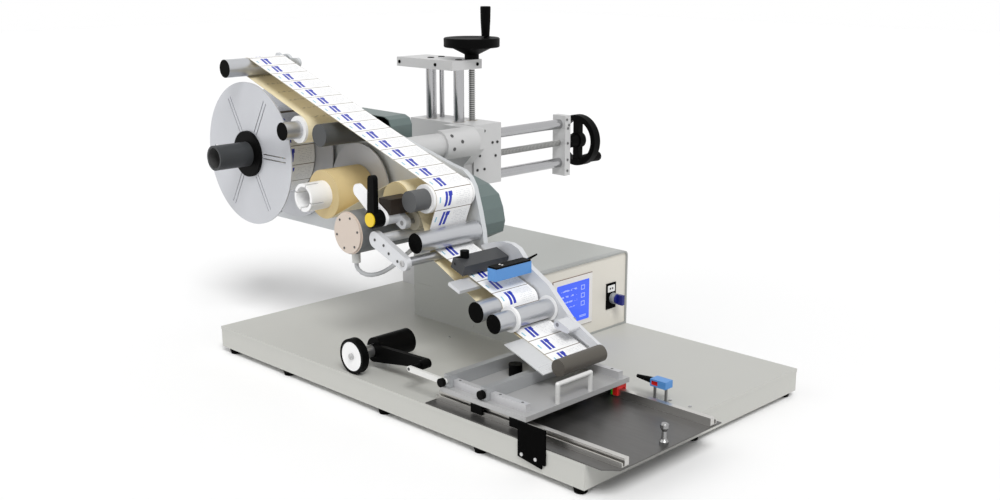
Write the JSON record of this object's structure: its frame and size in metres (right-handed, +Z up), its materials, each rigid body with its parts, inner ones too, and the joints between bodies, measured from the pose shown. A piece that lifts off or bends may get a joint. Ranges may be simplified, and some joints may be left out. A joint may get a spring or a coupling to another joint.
{
  "type": "bottle labeling machine",
  "caption": "Semi-automatic bench labeling machine for flat and oval bottles: sliding carriage, control box, column with cross slide, and a tilting label head.",
  "frame": {"origin": "on the floor under the centre of the tray, at the underside of the middle foot", "axes": "+X along the tray's long side, the way the carriage runs out; +Y from the label head side to the control box side; +Z up"},
  "size_m": [1.3959, 1.0269, 0.7403],
  "materials": {
    "tray_paint": "fine satin powder coat",
    "rubber_black": "matte",
    "dark_steel": "brushed",
    "zinc_steel": "rolled, bright",
    "bright_steel": "ground and polished",
    "black_metal": "black anodised",
    "blue_plastic": "satin",
    "box_grey": "fine texture",
    "frame_grey": "satin",
    "panel_cream": "smooth satin",
    "screen": "lit screen",
    "electronics": "plain",
    "knob_blue": "gloss",
    "alloy": "anodised satin",
    "screw_steel": "machined",
    "black_plastic": "fine matte",
    "brass": "turned",
    "plate_alloy": "anodised satin",
    "cover_green": "satin",
    "flange_alloy": "satin",
    "label_paper": "semi-gloss labels",
    "liner_paper": "glassine liner",
    "white_plastic": "smooth",
    "roller_alloy": "turned",
    "rubber_grey": "matte",
    "rubber_tan": "matte",
    "rubber_brown": "matte",
    "motor_alloy": "cast satin",
    "cable_grey": "smooth sleeve",
    "white_alloy": "satin",
    "sensor_body": "satin"
  },
  "bodies": {
    "base": {"base_tray": "tray_paint", "rubber_feet": "rubber_black", "drawer_plate": "dark_steel", "drawer_rails": "zinc_steel", "base_fittings": "bright_steel", "black_plates": "black_metal", "photocell": "blue_plastic", "box_cover": "box_grey", "box_frame": "frame_grey", "front_panel": "panel_cream", "display": "screen", "box_electronics": "electronics", "column_plates": "alloy", "column_rods": "bright_steel"},
    "switch": {"switch_knob": "knob_blue"},
    "height_drive": {"height_screw": "screw_steel", "height_wheel": "black_plastic"},
    "height_handle": {"height_grip": "black_plastic"},
    "lift": {"slide_block": "alloy", "block_bushes": "brass"},
    "cross_frame": {"cross_bracket": "alloy", "cross_rods": "bright_steel"},
    "cross_drive": {"cross_screw": "screw_steel", "cross_wheel": "black_plastic"},
    "cross_handle": {"cross_grip": "black_plastic"},
    "head": {"head_plate": "plate_alloy", "rear_covers": "cover_green", "axle_pins": "bright_steel", "guide_bars": "rubber_grey", "motor": "motor_alloy", "motor_cable": "cable_grey", "front_arms": "white_alloy", "peel_arm": "white_alloy", "peel_sheet": "plate_alloy", "sensors": "sensor_body", "label_web": "label_paper", "liner_web": "liner_paper"},
    "lever": {"clamp_lever": "black_plastic"},
    "unwinder": {"unwind_spindle": "flange_alloy", "label_roll": "label_paper"},
    "rewinder": {"rewind_spindle": "white_plastic", "liner_roll": "liner_paper"},
    "dancer": {"dancer_arm": "plate_alloy"},
    "dancer_roll": {"dancer_roller": "roller_alloy"},
    "idler": {"idler_roller": "white_plastic"},
    "feed": {"feed_roller": "white_plastic"},
    "silver": {"silver_roller": "roller_alloy"},
    "small": {"small_roller": "roller_alloy"},
    "nip": {"nip_roller": "rubber_tan"},
    "drive": {"drive_roller": "rubber_tan"},
    "lower": {"lower_roller": "roller_alloy"},
    "collared": {"collar_roller": "roller_alloy"},
    "swing_arm": {"apply_arm": "plate_alloy"},
    "applicator": {"apply_roller": "rubber_brown"},
    "carriage": {"carriage_plate": "alloy", "runner_blocks": "black_metal"},
    "bar_left": {"stop_bar_left": "alloy"},
    "bar_right": {"stop_bar_right": "alloy"},
    "encoder": {"encoder_body": "black_metal"},
    "encoder_roll": {"encoder_wheel": "white_plastic"}
  },
  "joints": [
    {"name": "height_slide", "type": "slide", "parent": "base", "child": "lift", "axis": [0, 0, 1], "range_m": [0, 0.115]},
    {"name": "height_turn", "type": "hinge", "parent": "base", "child": "height_drive", "pos_m": [-0.3515, 0.282, 0.65], "axis": [0, 0, 1], "range_deg": [-8290, 10]},
    {"name": "height_grip_spin", "type": "hinge", "parent": "height_drive", "child": "height_handle", "pos_m": [-0.35688, 0.33322, 0.67], "axis": [0, 0, 1], "continuous": true},
    {"name": "cross_slide", "type": "slide", "parent": "lift", "child": "cross_frame", "axis": [0, 1, 0], "range_m": [-0.15, 0]},
    {"name": "cross_turn", "type": "hinge", "parent": "cross_frame", "child": "cross_drive", "pos_m": [-0.305, 0.605, 0.397], "axis": [0, 1, 0], "range_deg": [-10810, 10]},
    {"name": "cross_grip_spin", "type": "hinge", "parent": "cross_drive", "child": "cross_handle", "pos_m": [-0.305, 0.627, 0.3455], "axis": [0, 1, 0], "continuous": true},
    {"name": "head_tilt", "type": "hinge", "parent": "cross_frame", "child": "head", "pos_m": [-0.26, 0.135, 0.445], "axis": [0, -1, 0], "range_deg": [0, 15]},
    {"name": "switch_turn", "type": "hinge", "parent": "base", "child": "switch", "pos_m": [0.094, 0.276, 0.126], "axis": [1, 0, 0], "range_deg": [0, 90]},
    {"name": "lever_turn", "type": "hinge", "parent": "head", "child": "lever", "pos_m": [-0.106, -0.225, 0.351], "axis": [0, 1, 0], "range_deg": [0, 90]},
    {"name": "unwind_spin", "type": "hinge", "parent": "head", "child": "unwinder", "pos_m": [-0.645, -0.095, 0.4115], "axis": [0, 1, 0], "continuous": true},
    {"name": "rewind_spin", "type": "hinge", "parent": "head", "child": "rewinder", "pos_m": [-0.384, -0.095, 0.35], "axis": [0, 1, 0], "continuous": true},
    {"name": "dancer_swing", "type": "hinge", "parent": "head", "child": "dancer", "pos_m": [-0.684, -0.03, 0.5033], "axis": [0, 1, 0], "range_deg": [0, 8]},
    {"name": "idler_spin", "type": "hinge", "parent": "head", "child": "idler", "pos_m": [-0.461, -0.095, 0.485], "axis": [0, 1, 0], "continuous": true},
    {"name": "feed_spin", "type": "hinge", "parent": "head", "child": "feed", "pos_m": [-0.048, -0.095, 0.388], "axis": [0, 1, 0], "continuous": true},
    {"name": "silver_spin", "type": "hinge", "parent": "head", "child": "silver", "pos_m": [-0.025, -0.095, 0.309], "axis": [0, 1, 0], "continuous": true},
    {"name": "small_spin", "type": "hinge", "parent": "head", "child": "small", "pos_m": [-0.027, -0.095, 0.274], "axis": [0, 1, 0], "continuous": true},
    {"name": "nip_spin", "type": "hinge", "parent": "head", "child": "nip", "pos_m": [-0.084, -0.095, 0.338], "axis": [0, 1, 0], "continuous": true},
    {"name": "drive_spin", "type": "hinge", "parent": "head", "child": "drive", "pos_m": [-0.137, -0.095, 0.369], "axis": [0, 1, 0], "continuous": true},
    {"name": "lower_spin", "type": "hinge", "parent": "head", "child": "lower", "pos_m": [0.142, -0.095, 0.203], "axis": [0, 1, 0], "continuous": true},
    {"name": "collar_spin", "type": "hinge", "parent": "head", "child": "collared", "pos_m": [0.188, -0.095, 0.1898], "axis": [0, 1, 0], "continuous": true},
    {"name": "dancer_roll_spin", "type": "hinge", "parent": "dancer", "child": "dancer_roll", "pos_m": [-0.655, -0.095, 0.609], "axis": [0, 1, 0], "continuous": true},
    {"name": "apply_swing", "type": "hinge", "parent": "head", "child": "swing_arm", "pos_m": [0.245, -0.042, 0.176], "axis": [0, -1, 0], "range_deg": [0, 12]},
    {"name": "apply_spin", "type": "hinge", "parent": "swing_arm", "child": "applicator", "pos_m": [0.331, -0.105, 0.134], "axis": [0, 1, 0], "continuous": true},
    {"name": "carriage_slide", "type": "slide", "parent": "base", "child": "carriage", "axis": [1, 0, 0], "range_m": [0, 0.178]},
    {"name": "left_bar_slide", "type": "slide", "parent": "carriage", "child": "bar_left", "axis": [1, 0, 0], "range_m": [0, 0.018]},
    {"name": "right_bar_slide", "type": "slide", "parent": "carriage", "child": "bar_right", "axis": [1, 0, 0], "range_m": [-0.02, 0.025]},
    {"name": "encoder_swing", "type": "hinge", "parent": "bar_left", "child": "encoder", "pos_m": [0.176, -0.304, 0.104], "axis": [0, 1, 0], "range_deg": [0, 8]},
    {"name": "encoder_spin", "type": "hinge", "parent": "encoder", "child": "encoder_roll", "pos_m": [-0.078, -0.309, 0.0937], "axis": [0, 1, 0], "range_deg": [-6, 300]}
  ],
  "couplings": [
    {"joint": "height_turn", "follows": "height_slide", "rad_per_m": -1256.6},
    {"joint": "cross_turn", "follows": "cross_slide", "rad_per_m": 1256.6},
    {"joint": "encoder_spin", "follows": "carriage_slide", "rad_per_m": 28.011}
  ]
}
